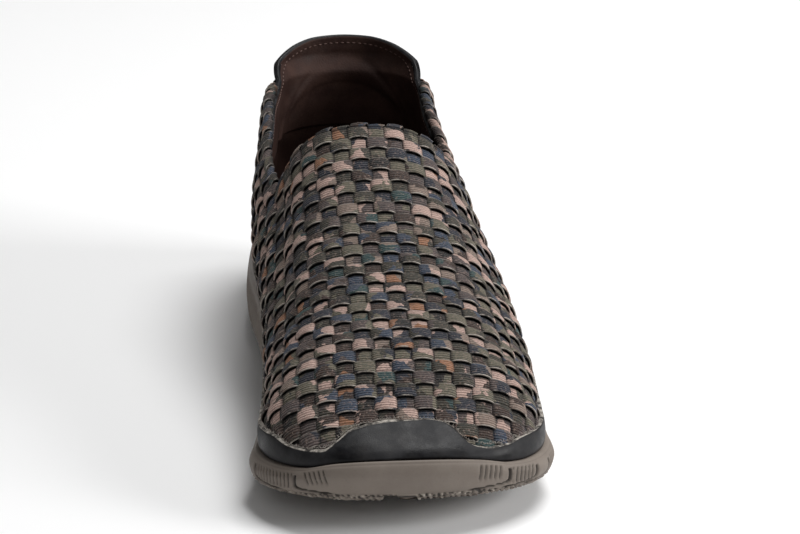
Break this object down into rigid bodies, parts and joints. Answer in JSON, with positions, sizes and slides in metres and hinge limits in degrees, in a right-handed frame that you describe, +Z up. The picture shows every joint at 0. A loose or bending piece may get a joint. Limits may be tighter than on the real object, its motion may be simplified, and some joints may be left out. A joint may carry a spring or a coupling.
{
  "type": "woven slip-on sneaker",
  "caption": "Left low slip-on sneaker with a basket-woven elastic upper, leather rand and heel tab on a ribbed unit sole.",
  "frame": {"origin": "middle of the shoe's box on the floor", "axes": "+Y from toe to heel, +X to the outer side of the foot, +Z up from the floor"},
  "size_m": [0.1072, 0.2958, 0.0992],
  "materials": {
    "sole": "matte moulded taupe",
    "insole": "matte dark brown",
    "upper": "woven elastic tape in a mixed camouflage print",
    "toe_rand": "soft black, low sheen",
    "heel_tab": "dark brown lining, black edge"
  },
  "bodies": {
    "root": {"sole": "sole", "insole": "insole", "upper": "upper", "toe_rand": "toe_rand", "heel_tab": "heel_tab"}
  },
  "joints": []
}
